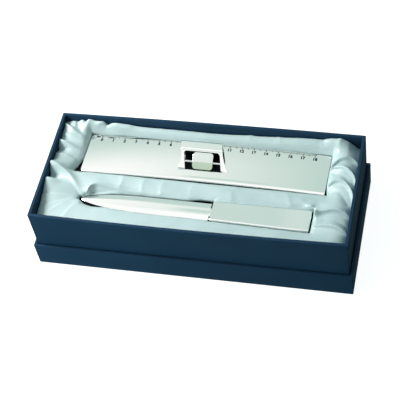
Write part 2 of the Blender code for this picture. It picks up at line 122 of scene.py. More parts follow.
def pick(obj, kind, test):
    """Select the verts, edges or faces of the object in edit mode that pass a test; return how many."""
    mesh = bmesh.from_edit_mesh(obj.data)
    chosen = [part for part in getattr(mesh, kind) if test(part)]
    for part in getattr(mesh, kind):
        part.select_set(False)
    for part in chosen:
        part.select_set(True)
    mesh.select_flush_mode()
    bmesh.update_edit_mesh(obj.data)
    return len(chosen)


def done(obj):
    """Leave edit mode."""
    bpy.ops.object.mode_set(mode="OBJECT")
    return obj


def apply_modifier(obj, kind, **settings):
    """Add a modifier, set it, and apply it."""
    only(obj)
    modifier = obj.modifiers.new(kind.title(), kind)
    for key, value in settings.items():
        setattr(modifier, key, value)
    bpy.ops.object.modifier_apply(modifier=modifier.name)
    return obj


def settle(obj):
    """Put an object's place into its mesh."""
    only(obj)
    bpy.ops.object.transform_apply(location=True, rotation=True, scale=True)
    return obj


def cube(name, low, high):
    """A block between two corners, ready to be shaped."""
    centre = [(a + b) / 2 for a, b in zip(low, high)]
    bpy.ops.object.select_all(action="DESELECT")
    bpy.ops.mesh.primitive_cube_add(size=1, location=centre)
    obj = bpy.context.active_object
    obj.name = obj.data.name = name
    obj.scale = [b - a for a, b in zip(low, high)]
    return settle(obj)


def smooth(obj, degrees=30):
    """Shade smooth, keeping edges sharper than an angle."""
    only(obj)
    bpy.ops.object.shade_smooth_by_angle(angle=math.radians(degrees))
    return obj


def even_shading(obj):
    """Let broad faces decide the shading normals, so that a flat face stays flat up to its bevel."""
    return apply_modifier(obj, "WEIGHTED_NORMAL", keep_sharp=True, weight=90)


def coordinates(obj):
    """The object's vertices as rows of x, y, z."""
    points = np.empty(len(obj.data.vertices) * 3)
    obj.data.vertices.foreach_get("co", points)
    return points.reshape(-1, 3)


def move_vertices(obj, points):
    obj.data.vertices.foreach_set("co", points.ravel())
    obj.data.update()


def polished_copy(node, name, edge, segments=3):
    """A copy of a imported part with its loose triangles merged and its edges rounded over."""
    obj = frame["nodes"][node].copy()
    obj.data = obj.data.copy()
    for key in [k for k in obj.keys() if k.startswith("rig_")]:
        del obj[key]
    obj.parent = None
    obj.name = obj.data.name = name
    bpy.context.scene.collection.objects.link(obj)
    edit(obj, "VERT")
    bpy.ops.mesh.select_all(action="SELECT")
    bpy.ops.mesh.remove_doubles(threshold=0.002 * MM)
    bpy.ops.mesh.dissolve_limited(angle_limit=math.radians(0.3))
    done(obj)
    apply_modifier(obj, "BEVEL", width=edge, segments=segments, limit_method="ANGLE",
                   angle_limit=math.radians(28), harden_normals=True, use_clamp_overlap=True)
    return obj


# %% [markdown]
# ## Camera
# The camera stands in front, to the right, and looks down at about 52 degrees through a long lens,
# so the box keeps almost parallel sides. It is rolled a little, as if held by hand.

# %% Camera
CAMERA_AZIMUTH, CAMERA_ELEVATION = math.radians(20.93), math.radians(51.93)
CAMERA_ROLL = math.radians(-11.58)
CAMERA_TARGET = Vector((-1.2 * MM, -1.3 * MM, 30 * MM))
CAMERA_DISTANCE = 0.989
LENS_MM, SENSOR_MM = 109.8, 36

back = Vector((math.sin(CAMERA_AZIMUTH) * math.cos(CAMERA_ELEVATION),
               -math.cos(CAMERA_AZIMUTH) * math.cos(CAMERA_ELEVATION), math.sin(CAMERA_ELEVATION)))
level = Vector((math.cos(CAMERA_AZIMUTH), math.sin(CAMERA_AZIMUTH), 0.0))
upright = back.cross(level)
right = level * math.cos(CAMERA_ROLL) + upright * math.sin(CAMERA_ROLL)
up = upright * math.cos(CAMERA_ROLL) - level * math.sin(CAMERA_ROLL)

camera = bpy.data.objects.new("camera", bpy.data.cameras.new("camera"))
camera.data.lens = LENS_MM
camera.data.sensor_width = SENSOR_MM
camera.matrix_world = Matrix.Translation(CAMERA_TARGET + back * CAMERA_DISTANCE) @ Matrix(
    (right, up, back)).transposed().to_4x4()
bpy.context.scene.collection.objects.link(camera)
bpy.context.scene.camera = camera
print("camera at", [round(c, 3) for c in camera.matrix_world.translation])

# %% [markdown]
# ## Stage
# Silver shows nothing of its own: it mirrors the studio. So a large glowing card hangs over the set,
# pale grey-green, with three white zones: one to the far left, one overhead and one in front. A greyer
# strip crosses the left one, and the card turns cream at its near end. The ruler and the opener show
# the soft borders between the zones. The card is hidden from the camera and from shadow and diffuse
# rays, so that it makes reflections and no light. The light itself comes from two area lights on the
# left and from a world that is darker on the right. The floor glows, as a light table does, which keeps
# the shadow on it faint.

# %% Floor
bpy.context.scene.view_settings.view_transform = "Standard"
FLOOR_SIZE, FLOOR_GLOW = 8.0, 0.9

bpy.ops.object.select_all(action="DESELECT")
bpy.ops.mesh.primitive_plane_add(size=FLOOR_SIZE, location=(0, 0, -0.2 * MM))
floor = bpy.context.active_object
floor.name = "floor"
floor_paint, _ = new_material("light_table_floor", Base_Color=(0.5, 0.5, 0.5, 1.0), Roughness=0.9,
                              Emission_Color=(1.0, 1.0, 1.0, 1.0), Emission_Strength=FLOOR_GLOW)
dress(floor, floor_paint)
floor.visible_diffuse = False
floor.visible_glossy = False

# %% Card for the reflections
CARD_HEIGHT = 0.65
CARD_LOW, CARD_HIGH = Vector((-1.6, -2.0)), Vector((1.2, 1.5))
CARD_TINT, CARD_WHITE, CARD_CREAM = "#bfd5cf", "#ffffff", "#bccfbd"
CARD_GLOW = 1.06
# a zone lies past all its borders: each is an axis, and where its ramp starts and ends, in metres
FAR_LEFT_ZONE = (("X", 0.06, -0.34, "LINEAR"), ("Y", 0.550, 0.478))
STRIP_ZONE = (("Y", 0.452, 0.43), ("X", -0.215, -0.17), ("Y", 0.34, 0.365), ("X", -0.02, -0.055))
STRIP_WHITE = 0.25
OVERHEAD_ZONE = (("Y", 0.35, 0.30), ("Y", -0.08, 0.0))
FRONT_ZONE = (("Y", -0.24, -0.36), ("X", 0.22, 0.06))
CREAM_ZONE = (("Y", -0.95, -1.15),)

bpy.ops.object.select_all(action="DESELECT")
card_centre = (CARD_LOW + CARD_HIGH) / 2
bpy.ops.mesh.primitive_plane_add(size=1, location=(card_centre.x, card_centre.y, CARD_HEIGHT))
card = bpy.context.active_object
card.name = "overhead_card"
card.scale = (CARD_HIGH.x - CARD_LOW.x, CARD_HIGH.y - CARD_LOW.y, 1)
settle(card)
card.visible_camera = False
card.visible_shadow = False
card.visible_diffuse = False


def ramp(mat, value, start, end, low=0.0, high=1.0, kind="SMOOTHSTEP"):
    """A value that goes from low at start to high at end, and stays there."""
    return add_node(mat, "ShaderNodeMapRange", {"interpolation_type": kind},
                    {0: value, 1: start, 2: end, 3: low, 4: high}).outputs[0]


def maths(mat, operation, a, b):
    return add_node(mat, "ShaderNodeMath", {"operation": operation}, {0: a, 1: b}).outputs[0]


def axes_of(mat, socket):
    """The x, y and z of a coordinate."""
    place = add_node(mat, "ShaderNodeTexCoord").outputs[socket]
    return add_node(mat, "ShaderNodeSeparateXYZ", inputs={0: place}).outputs


card_paint = bpy.data.materials.new("glowing_card")
card_paint.use_nodes = True
card_paint.node_tree.nodes.clear()
axes = axes_of(card_paint, "Object")


def zone(borders):
    """One past all the borders of a zone, and zero outside it."""
    inside = None
    for axis, start, end, *kind in borders:
        past = ramp(card_paint, axes[axis], start, end, 0.0, 1.0, *kind)
        inside = past if inside is None else maths(card_paint, "MULTIPLY", inside, past)
    return inside


def card_mix(share, first, second):
    """Colour that goes from the first to the second as the share goes from 0 to 1."""
    return add_node(card_paint, "ShaderNodeMix", {"data_type": "RGBA"},
                    {0: share, 6: first, 7: second}).outputs[2]


outside_strip = ramp(card_paint, zone(STRIP_ZONE), 0.0, 1.0, 1.0, STRIP_WHITE, "LINEAR")
white = maths(card_paint, "MULTIPLY", zone(FAR_LEFT_ZONE), outside_strip)
white = maths(card_paint, "MAXIMUM", white, zone(OVERHEAD_ZONE))
white = maths(card_paint, "MAXIMUM", white, zone(FRONT_ZONE))
tint = card_mix(white, linear(CARD_TINT), linear(CARD_WHITE))
tint = card_mix(zone(CREAM_ZONE), tint, linear(CARD_CREAM))
glow = add_node(card_paint, "ShaderNodeEmission", inputs={"Color": tint, "Strength": CARD_GLOW}).outputs[0]
add_node(card_paint, "ShaderNodeOutputMaterial", inputs={"Surface": glow})
dress(card, card_paint)

# %% World and lights
FILL_LEFT, FILL_RIGHT, FILL_BORDER = 0.62, 0.20, 0.6
FILL_LOW, FILL_HIGH = "#b4dada", "#c4e4e5"

world = bpy.data.worlds.new("studio")
world.use_nodes = True
axes = axes_of(world, "Generated")
fill = ramp(world, axes["X"], -FILL_BORDER, FILL_BORDER, FILL_LEFT, FILL_RIGHT)
upwards = ramp(world, axes["Z"], -0.2, 0.4)
world_tint = add_node(world, "ShaderNodeMix", {"data_type": "RGBA"},
                      {0: upwards, 6: linear(FILL_LOW), 7: linear(FILL_HIGH)}).outputs[2]
background = world.node_tree.nodes["Background"]
world.node_tree.links.new(world_tint, background.inputs["Color"])
world.node_tree.links.new(fill, background.inputs["Strength"])
bpy.context.scene.world = world


def area_light(name, place, aim, size, watts, colour):
    """A square area light at a place, turned to what it lights."""
    light = bpy.data.objects.new(name, bpy.data.lights.new(name, "AREA"))
    light.data.size = size
    light.data.energy = watts
    light.data.color = linear(colour)[:3]
    light.location = place
    light.rotation_euler = (Vector(aim) - Vector(place)).to_track_quat("-Z", "Y").to_euler()
    bpy.context.scene.collection.objects.link(light)
    return light


area_light("key_light", (-0.50, -0.01, 0.49), (0, 0, 0.03), 0.22, 4.0, "#ffffff")
low_light = area_light("low_front_light", (-0.32, -0.40, 0.045), (-0.05, -0.05, 0.03), 0.10, 0.85, "#f2f8ff")
low_light.visible_glossy = False
print("stage: floor, two area lights and a card of", tuple(round(s, 2) for s in card.dimensions))

# %% [markdown]
# ## Covering paper
# A rigid box is greyboard wrapped in coloured paper, here a navy with a fine embossed grain that
# breaks the light into a soft sheen. Grain cells are a little under half a millimetre; two blues are
# mixed over a few centimetres, because dyed paper is never quite even.

# %% Paper, board, card and foam
def grain_bump(mat, shader, cell, strength, depth, detail=3.0):
    """A fine noise grain, cell wide and depth high, in metres; returns the coordinates it reads."""
    where = add_node(mat, "ShaderNodeTexCoord").outputs["Object"]
    noise = add_node(mat, "ShaderNodeTexNoise",
                     inputs={"Vector": where, "Scale": 1 / cell, "Detail": detail})
    bump = add_node(mat, "ShaderNodeBump", inputs={"Height": noise.outputs[0], "Strength": strength,
                                                  "Distance": depth})
    mat.node_tree.links.new(bump.outputs[0], shader.inputs["Normal"])
    return where


def mottled(mat, shader, where, patch, low_hex, high_hex):
    """Two near colours mixed by a broad noise."""
    noise = add_node(mat, "ShaderNodeTexNoise", inputs={"Vector": where, "Scale": 1 / patch, "Detail": 2.0})
    mix = add_node(mat, "ShaderNodeMix", {"data_type": "RGBA"},
                   {0: noise.outputs[0], 6: linear(low_hex), 7: linear(high_hex)})
    mat.node_tree.links.new(mix.outputs[2], shader.inputs["Base Color"])


navy_paper, shader = new_material("navy_covering_paper", Roughness=0.55, Specular_IOR_Level=0.12)
where = grain_bump(navy_paper, shader, 0.45 * MM, 0.25, 0.06 * MM)
mottled(navy_paper, shader, where, 35 * MM, "#1c3a53", "#22455e")

greyboard, shader = new_material("raw_greyboard", Roughness=0.92)
where = grain_bump(greyboard, shader, 0.8 * MM, 0.5, 0.1 * MM)
mottled(greyboard, shader, where, 2 * MM, "#7d7972", "#96918a")

white_card, shader = new_material("white_card", Roughness=0.8)
where = grain_bump(white_card, shader, 0.6 * MM, 0.2, 0.05 * MM)
mottled(white_card, shader, where, 12 * MM, "#dcdad2", "#e8e6df")

# painted shade: the foam is made near black so that the gaps beside the silver read as black lines
foam_gap_shade_paint, shader = new_material("charcoal_foam", Roughness=0.95, Specular_IOR_Level=0.1)
where = grain_bump(foam_gap_shade_paint, shader, 0.9 * MM, 0.8, 0.25 * MM)
mottled(foam_gap_shade_paint, shader, where, 4 * MM, "#141617", "#222527")

resin, shader = new_material("cast_resin_filler", Roughness=0.6)
where = grain_bump(resin, shader, 1.2 * MM, 0.3, 0.1 * MM)
mottled(resin, shader, where, 5 * MM, "#4e4a43", "#5f5a51")

for node in ("tray_base_paper", "lid_liner"):
    dress(frame["nodes"][node], navy_paper)
for node in frame["nodes"]:
    if node.startswith(("lid_panel", "lid_wall", "tray_floor", "tray_wall")):
        dress(frame["nodes"][node], greyboard)
    if node.startswith(("insert_deck", "insert_leg")):
        dress(frame["nodes"][node], white_card)
dress(frame["nodes"]["opener_filler"], resin)

# %% [markdown]
# ## Box
# Each wrap is one sheet of paper folded round boards. It is built as a sheet: a block loses its top,
# the top edge is extruded inwards for the rim and down for the turned-in inside, the folds are
# bevelled to the small radius that paper keeps, and Solidify gives the paper its thickness.

# %% Wraps for the lid and the tray
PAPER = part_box("tray_base_paper")[1].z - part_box("tray_base_paper")[0].z
FOLD_RADIUS = 0.7 * MM
RIM_RADIUS = 0.45 * MM


def wrapped_walls(name, low, high, wall, inside_z, keep_base):
    """Paper round four walls: outside, over the rim, and down the inside to inside_z."""
    obj = cube(name, low, high)
    edit(obj)
    pick(obj, "faces", lambda f: f.normal.z > 0.5 or (f.normal.z < -0.5 and not keep_base))
    bpy.ops.mesh.delete(type="FACE")
    top = high.z
    middle = (low + high) / 2
    size = high - low
    shrink = ((size.x - 2 * wall) / size.x, (size.y - 2 * wall) / size.y, 1)
    bpy.ops.mesh.select_mode(type="EDGE")
    pick(obj, "edges", lambda e: all(abs(v.co.z - top) < 0.01 * MM for v in e.verts))
    bpy.ops.mesh.extrude_edges_move(TRANSFORM_OT_translate={"value": (0, 0, 0)})
    bpy.ops.transform.resize(value=shrink, center_override=(middle.x, middle.y, top))
    bpy.ops.mesh.extrude_edges_move(TRANSFORM_OT_translate={"value": (0, 0, inside_z - top)})
    # upright folds at the corners, then the two folds along the rim
    pick(obj, "edges", lambda e: abs(e.verts[0].co.z - e.verts[1].co.z) > 1 * MM
         and abs(abs(e.verts[0].co.x - middle.x) - size.x / 2) < 0.01 * MM)
    bpy.ops.mesh.bevel(offset=FOLD_RADIUS, segments=4, affect="EDGES")
    pick(obj, "edges", lambda e: all(abs(v.co.z - top) < 0.01 * MM for v in e.verts)
         and len(e.link_faces) == 2 and abs(e.link_faces[0].normal.z) + abs(e.link_faces[1].normal.z) < 1.5
         and e.calc_face_angle(0) > 0.5)
    bpy.ops.mesh.bevel(offset=RIM_RADIUS, segments=3, affect="EDGES")
    return done(obj)


def crosscuts(obj, axis, values):
    """Cut an open object across an axis at each value, so that it can curve."""
    edit(obj)
    normal = [0, 0, 0]
    normal[axis] = 1
    for value in values:
        point = [0, 0, 0]
        point[axis] = value
        bpy.ops.mesh.select_all(action="SELECT")
        bpy.ops.mesh.bisect(plane_co=point, plane_no=normal)
    return done(obj)


lid_low, lid_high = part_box("lid_side_paper")
lid_low = Vector((lid_low.x, lid_low.y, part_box("lid_top_paper")[0].z))
lid_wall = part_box("lid_wall_front")[1].y - lid_low.y + PAPER
lid_wrap = wrapped_walls("lid_wrap", lid_low, lid_high, lid_wall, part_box("lid_liner")[1].z, True)
apply_modifier(lid_wrap, "SOLIDIFY", thickness=PAPER, offset=-1, use_even_offset=True)
smooth(lid_wrap, 35)
dress(lid_wrap, navy_paper)
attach(lid_wrap, "lid")
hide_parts("lid_top_paper", "lid_side_paper")
print("lid wrap", len(lid_wrap.data.polygons), "faces")

# %% [markdown]
# The tray's long walls bow outwards at the rim, as tall cardboard walls do once the cloth presses on
# them. The wrap is cut across at even steps and its points are moved out by a smooth rule: nothing at
# the corners and at the base, most at the middle of the rim.

# %% Tray wrap with bowed long walls
tray_low, tray_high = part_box("tray_wrap")
BASE_LOW, BASE_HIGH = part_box("tray_base_paper")
TRAY_X, TRAY_Y = BASE_HIGH.x, BASE_HIGH.y
RIM_Z = tray_high.z
BOW_FRONT, BOW_BACK = -tray_low.y - TRAY_Y, tray_high.y - TRAY_Y
TRAY_WALL = TRAY_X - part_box("tray_floor")[1].x - 0.3 * MM


def bow(points):
    """Move rows of points outwards with the bowed walls."""
    along = np.clip(1 - (points[:, 0] / TRAY_X) ** 2, 0, 1)
    height = np.clip((points[:, 2] - BASE_LOW.z) / (RIM_Z - BASE_LOW.z), 0, 1) ** 2
    share = along * height * np.clip(np.abs(points[:, 1]) / (TRAY_Y - TRAY_WALL), 0, 1)
    points = points.copy()
    points[:, 1] += np.where(points[:, 1] < 0, -BOW_FRONT, BOW_BACK) * share
    return points


wrap_low = Vector((-TRAY_X, -TRAY_Y, tray_low.z))
wrap_high = Vector((TRAY_X, TRAY_Y, RIM_Z))
tray_paper = wrapped_walls("tray_paper_wrap", wrap_low, wrap_high, TRAY_WALL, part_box("tray_floor")[0].z,
                           False)
crosscuts(tray_paper, 0, [TRAY_X * i / 12 for i in range(-11, 12)])
crosscuts(tray_paper, 2, [BASE_LOW.z + (RIM_Z - BASE_LOW.z) * i / 8 for i in range(1, 8)])
move_vertices(tray_paper, bow(coordinates(tray_paper)))
apply_modifier(tray_paper, "SOLIDIFY", thickness=PAPER, offset=-1, use_even_offset=True)
smooth(tray_paper, 35)
dress(tray_paper, navy_paper)
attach(tray_paper, "tray")
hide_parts("tray_wrap")
print("tray wrap", len(tray_paper.data.polygons), "faces; bow mm", round(BOW_FRONT / MM, 1),
      round(BOW_BACK / MM, 1))

# %% [markdown]
# ## Polished silver plate
# Silver plate is polished on a buffing wheel to a mirror. Metal gives the eye a reflection tinted by
# its base colour; very fine haze from the polish widens the roughness a little in places.

# %% Silver, painted shade under the grip's bridge, and engraving ink
silver, shader = new_material("buffed_silver_plate", Base_Color=linear("#f6f8f5"), Metallic=1.0)
where = add_node(silver, "ShaderNodeTexCoord").outputs["Object"]
haze = add_node(silver, "ShaderNodeTexNoise", inputs={"Vector": where, "Scale": 1 / (9 * MM), "Detail": 4.0})
rough = add_node(silver, "ShaderNodeMapRange", inputs={0: haze.outputs[0], 1: 0.3, 2: 0.7, 3: 0.035, 4: 0.07})
silver.node_tree.links.new(rough.outputs[0], shader.inputs["Roughness"])

# painted shade: a dark matt metal for the inside of the grip's bridge and the plate under it, where the silver
# lies in shade
bridge_shade_paint, shader = new_material("blackened_silver", Metallic=1.0, Roughness=0.35)
where = grain_bump(bridge_shade_paint, shader, 0.8 * MM, 0.2, 0.03 * MM)
mottled(bridge_shade_paint, shader, where, 3 * MM, "#16191b", "#1f2325")

ink, shader = new_material("engraving_ink", Roughness=0.6, Specular_IOR_Level=0.1)
where = grain_bump(ink, shader, 0.3 * MM, 0.2, 0.02 * MM)
mottled(ink, shader, where, 3 * MM, "#0d0f10", "#16191a")
dress(frame["nodes"]["buckle_pin"], silver)

# %% [markdown]
# ## Ruler
# The plate is a gentle arch, so its mirror image runs smoothly from light to dark. It is modelled
# flat: a block, its upright corners bevelled round, cut across into narrow strips, its edges rounded
# and its front edge rolled down a little. Then every point is lowered by the arch's parabola. Bending
# last keeps all the cuts straight.

# %% Ruler's frame
swing = next(j for j in frame["joints"] if j["name"] == "buckle_swing")
RULER_TURN = math.atan2(swing["axis"][1], swing["axis"][0])
plate_low, plate_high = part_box("ruler_plate")
RULER_CENTRE = (plate_low + plate_high) / 2
RULER_HALF_X, RULER_HALF_Y, RULER_T = 101.1 * MM, 19.5 * MM, 1.5 * MM
RULER_ARCH = 2.5 * MM
RULER_TOP = plate_high.z
ROUND_START, ROUND_END = 2.6 * MM, 1.2 * MM


def turned(x, y, centre, turn):
    """World points in a turned frame about a centre."""
    dx, dy = x - centre.x, y - centre.y
    return math.cos(turn) * dx + math.sin(turn) * dy, -math.sin(turn) * dx + math.cos(turn) * dy


def to_plate(points):
    """From the ruler's flat frame, with the plate's top at zero, to its place on the arch."""
    cos_turn, sin_turn = math.cos(RULER_TURN), math.sin(RULER_TURN)
    x, y = points[:, 0], points[:, 1]
    placed = np.empty_like(points)
    placed[:, 0] = RULER_CENTRE.x + cos_turn * x - sin_turn * y
    placed[:, 1] = RULER_CENTRE.y + sin_turn * x + cos_turn * y
    placed[:, 2] = points[:, 2] + RULER_TOP - RULER_ARCH * (x / RULER_HALF_X) ** 2
    return placed


# %% Ruler plate
PLATE_STRIPS, ROLL_STRIPS = 60, 8
PLATE_EDGE = 0.35 * MM
FRONT_ROLL, FRONT_DROP = 4.5 * MM, 0.32 * MM

plate = cube("ruler_plate_polished", (-RULER_HALF_X, -RULER_HALF_Y, -RULER_T),
             (RULER_HALF_X, RULER_HALF_Y, 0))
for side, radius in ((-1, ROUND_START), (1, ROUND_END)):
    edit(plate, "EDGE")
    pick(plate, "edges", lambda e: all(side * v.co.x > RULER_HALF_X * 0.999 for v in e.verts)
         and abs(e.verts[0].co.y - e.verts[1].co.y) < 0.01 * MM)
    bpy.ops.mesh.bevel(offset=radius, segments=8, affect="EDGES")
    done(plate)
crosscuts(plate, 0, [RULER_HALF_X * (2 * i / PLATE_STRIPS - 1) for i in range(1, PLATE_STRIPS)])
crosscuts(plate, 1, [-RULER_HALF_Y + FRONT_ROLL * i / ROLL_STRIPS for i in range(1, ROLL_STRIPS + 1)])
apply_modifier(plate, "BEVEL", width=PLATE_EDGE, segments=4, limit_method="ANGLE",
               angle_limit=math.radians(50), use_clamp_overlap=True)
net = coordinates(plate)
net[:, 2] -= FRONT_DROP * np.clip((FRONT_ROLL - RULER_HALF_Y - net[:, 1]) / FRONT_ROLL, 0, 1) ** 2
move_vertices(plate, to_plate(net))
smooth(plate, 40)
even_shading(plate)
dress(plate, silver)
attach(plate, "ruler")
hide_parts("ruler_plate")
print("ruler plate", len(plate.data.polygons), "faces")

# %% [markdown]
# The grip is a bridge of bent sheet with a window in its slope, and a plaque turns in the window on
# a cross pin. Merged copies of the imported parts are taken and their edges are rounded, because a real
# edge is never sharp and catches a thin bright line. The grip's foot is then brought down onto the
# plate, and its legs slope down along their outer edges. The inside of the bridge is painted dark and
# matt, as painted shade, and so is the plate under it, as a thin patch.

# %% Grip and buckle
GRIP_EDGE, BUCKLE_EDGE, SHEET_T = 0.22 * MM, 0.3 * MM, 1.2 * MM
# the foot's middle in the plate's frame, how far the bridge leans along the plate, and where legs start
FOOT_X, FOOT_Y, RAKE, LEG_INNER = 1.0 * MM, -8.9 * MM, -0.2, 15.0 * MM
FOOT_DEPTH, FOOT_HEIGHT, FOOT_DROP = 1.2 * MM, 0.9 * MM, 0.3 * MM
SLOPE_BACK, SLOPE_LENGTH = 1.0 * MM, 8 * MM
LEG_REACH, LEG_FALL, LEG_FOOT = 6 * MM, 0.34, 0.4 * MM
PLATE_GAP = 0.02 * MM
PATCH_T, PATCH_FRONT, PATCH_BACK = 0.05 * MM, FOOT_Y - 0.5 * MM, 11.0 * MM


def facing_down(face):
    """Faces inside the bridge, and not the end of its foot."""
    return face.normal.z < -0.35 and face.normal.y > -0.5


grip = polished_copy("ruler_grip", "ruler_grip_polished", GRIP_EDGE)
dress(grip, silver)
grip.data.materials.append(bridge_shade_paint)
grip_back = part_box("ruler_grip")[1].y
net = coordinates(grip)
u, v = turned(net[:, 0], net[:, 1], RULER_CENTRE, RULER_TURN)
at_foot = (v < FOOT_Y + FOOT_DEPTH) & (net[:, 2] < RULER_TOP + FOOT_HEIGHT)
net[at_foot, 2] -= FOOT_DROP
outward = u - FOOT_X - RAKE * (v - FOOT_Y) - LEG_INNER
down_slope = np.clip((SLOPE_BACK - v) / SLOPE_LENGTH, 0, 1)
above_foot = net[:, 2] - RULER_TOP > LEG_FOOT
net[:, 2] -= np.clip(outward, 0, LEG_REACH) * LEG_FALL * down_slope * above_foot
net[:, 2] = np.maximum(net[:, 2], RULER_TOP + PLATE_GAP)
move_vertices(grip, net)
# painted shade: the faces inside the bridge take the dark material
for face in grip.data.polygons:
    inside_back = face.normal.y < -0.8 and face.center.y > grip_back - 2.5 * SHEET_T
    if facing_down(face) or inside_back:
        face.material_index = 1
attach(grip, "ruler")
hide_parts("ruler_grip")

# painted shade: a thin dark patch on the plate under the bridge
bridge_shade_patch = cube("plate_under_bridge", (-LEG_INNER, PATCH_FRONT, 0), (LEG_INNER, PATCH_BACK, PATCH_T))
crosscuts(bridge_shade_patch, 0, [LEG_INNER * i / 4 for i in range(-3, 4)])
net = coordinates(bridge_shade_patch)
net[:, 0] += FOOT_X + RAKE * (net[:, 1] - FOOT_Y)
move_vertices(bridge_shade_patch, to_plate(net))
dress(bridge_shade_patch, bridge_shade_paint)
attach(bridge_shade_patch, "ruler")

buckle = polished_copy("grip_buckle", "grip_buckle_polished", BUCKLE_EDGE)
dress(buckle, silver)
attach(buckle, "buckle")
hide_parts("grip_buckle")
print("grip", len(grip.data.polygons), "faces; buckle", len(buckle.data.polygons), "faces")

# %% [markdown]
# The scale is engraved along the back edge and filled with ink. One tick is modelled and repeated by
# an array for each of the three lengths; the numerals are text turned to mesh. All of it is then bent
# to the plate's arch by the rule that the plate itself follows.

# %% Scale and numerals
SCALE_ZERO = -RULER_HALF_X + 9.3 * MM
SCALE_LENGTH_CM = 18
TICK_START = RULER_HALF_Y - 0.5 * MM
INK_T = 0.06 * MM
# width and length of each kind of tick
MM_TICK, HALF_TICK, CM_TICK = (0.34 * MM, 1.4 * MM), (0.42 * MM, 2.0 * MM), (0.5 * MM, 2.6 * MM)
NUMERAL_SIZE, NUMERAL_BOLD, NUMERAL_IN = 3.8 * MM, 0.19 * MM, 6.2 * MM
UNIT_SIZE = 2.8 * MM


def tick_row(name, width, length, pitch, count):
    """A row of engraved ticks from zero on, every pitch, in the ruler's own frame."""
    obj = cube(name, (SCALE_ZERO - width / 2, TICK_START - length, 0),
               (SCALE_ZERO + width / 2, TICK_START, INK_T))
    return apply_modifier(obj, "ARRAY", count=count, use_relative_offset=False, use_constant_offset=True,
                          constant_offset_displace=(pitch, 0, 0))


def numeral(text, x, y, size):
    """A number on the ruler, as mesh."""
    bpy.ops.object.select_all(action="DESELECT")
    bpy.ops.object.text_add()
    obj = bpy.context.active_object
    obj.data.body = text
    obj.data.size = size
    obj.data.align_x = "CENTER"
    obj.data.extrude = INK_T / 2
    obj.data.offset = NUMERAL_BOLD
    obj.location = (x, y, INK_T / 2)
    bpy.ops.object.convert(target="MESH")
    return settle(bpy.context.active_object)


marks = [tick_row("tick_mm", *MM_TICK, 1 * MM, SCALE_LENGTH_CM * 10 + 1),
         tick_row("tick_half", *HALF_TICK, 10 * MM, SCALE_LENGTH_CM)]
half_ticks = coordinates(marks[1])
half_ticks[:, 0] += 5 * MM
move_vertices(marks[1], half_ticks)
marks.append(tick_row("tick_cm", *CM_TICK, 10 * MM, SCALE_LENGTH_CM + 1))
marks.append(cube("scale_line", (SCALE_ZERO - 1.5 * MM, TICK_START - 0.15 * MM, 0),
                  (SCALE_ZERO + SCALE_LENGTH_CM * 10 * MM + 1 * MM, TICK_START + 0.45 * MM, INK_T)))
for number in range(SCALE_LENGTH_CM + 1):
    # one digit stands a little right of its tick, two are centred on it
    across = number * 10 + (0.4 if number < 10 else 0)
    marks.append(numeral(str(number), SCALE_ZERO + across * MM, RULER_HALF_Y - NUMERAL_IN, NUMERAL_SIZE))
marks.append(numeral("cm", SCALE_ZERO - 3.4 * MM, RULER_HALF_Y - 2.6 * MM, UNIT_SIZE))
bpy.ops.object.select_all(action="DESELECT")
for mark in marks:
    mark.select_set(True)
bpy.context.view_layer.objects.active = marks[0]
bpy.ops.object.join()
scale = marks[0]
scale.name = scale.data.name = "ruler_scale"
edit(scale, "FACE")
bpy.ops.mesh.select_all(action="SELECT")
bpy.ops.mesh.normals_make_consistent(inside=False)
done(scale)

move_vertices(scale, to_plate(coordinates(scale)))
dress(scale, ink)
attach(scale, "ruler")
print("scale", len(scale.data.polygons), "faces")

# %% [markdown]
# ## Letter opener
# The blade is lens-shaped, thickest along its middle, so its mirror image runs from grey at the back
# to white at the front. It is modelled as a block one unit wide and thick, cut into a net, and a rule
# then gives each point its width and thickness. The tang is extruded from its end into the handle.

# %% Blade
OPENER_AT = Vector((14.7 * MM, -23.9 * MM, 45.6 * MM))
OPENER_TURN = -0.018
BLADE_LENGTH, TIP_LENGTH = 108.1 * MM, 55.0 * MM
BLADE_HALF, BLADE_T, BLADE_EDGE = 8.1 * MM, 1.6 * MM, 0.6 * MM
TANG_LENGTH, TANG_HALF, TANG_T = 42.0 * MM, 4.0 * MM, 1.2 * MM
HANDLE_LENGTH, HANDLE_START, HANDLE_END = 79.0 * MM, 9.1 * MM, 10.1 * MM
SHOULDER = -1.2 * MM


def blade_half(x):
    """Half width of the blade: constant, then drawn to the tip in a sine curve."""
    share = np.clip((BLADE_LENGTH + x) / TIP_LENGTH, 0, 1)
    return np.maximum(0.25 * MM, BLADE_HALF * np.sin(np.pi / 2 * share ** 0.62))


def to_opener(points):
    """From the opener's own frame to its place."""
    cos_turn, sin_turn = math.cos(OPENER_TURN), math.sin(OPENER_TURN)
    placed = points.copy()
    placed[:, 0] = OPENER_AT.x + cos_turn * points[:, 0] - sin_turn * points[:, 1]
    placed[:, 1] = OPENER_AT.y + sin_turn * points[:, 0] + cos_turn * points[:, 1]
    placed[:, 2] = OPENER_AT.z + points[:, 2]
    return placed


